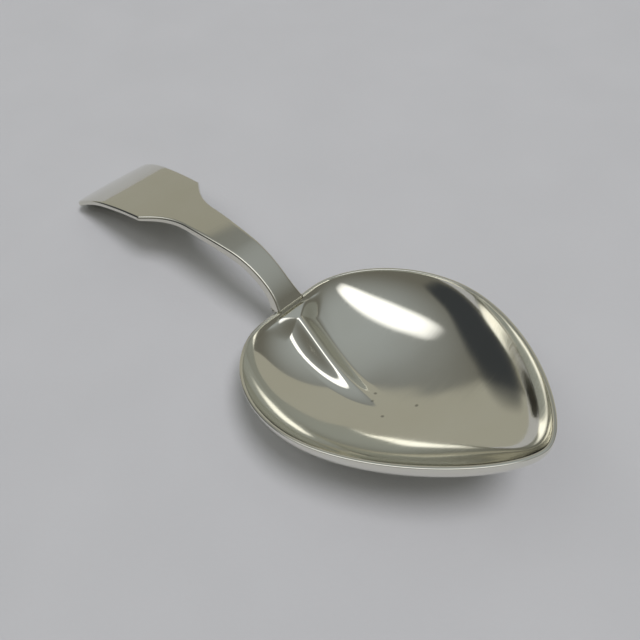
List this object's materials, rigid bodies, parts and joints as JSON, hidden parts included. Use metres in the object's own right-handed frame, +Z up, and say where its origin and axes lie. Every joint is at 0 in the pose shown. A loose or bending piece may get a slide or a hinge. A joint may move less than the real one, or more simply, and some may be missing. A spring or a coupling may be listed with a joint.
{
  "type": "caddy spoon",
  "caption": "Short silver tea-caddy spoon: a heart-shaped bowl with a fold between its lobes, soldered to an arched fiddle handle.",
  "frame": {"origin": "on the table under the middle of the spoon's length and width, as it rests on its lobes and the handle's end", "axes": "+X along the spoon from the handle's end to the bowl's point, +Y to the left seen from above, +Z up"},
  "size_m": [0.095, 0.0346, 0.0157],
  "materials": {
    "bowl_silver": "hand-polished sterling silver, faintly warm with tarnish",
    "handle_silver": "hand-polished sterling silver with fine wear",
    "silver_solder": "filed and polished hard silver solder"
  },
  "bodies": {
    "root": {"bowl": "bowl_silver", "handle": "handle_silver", "solder_fillet": "silver_solder"}
  },
  "joints": []
}
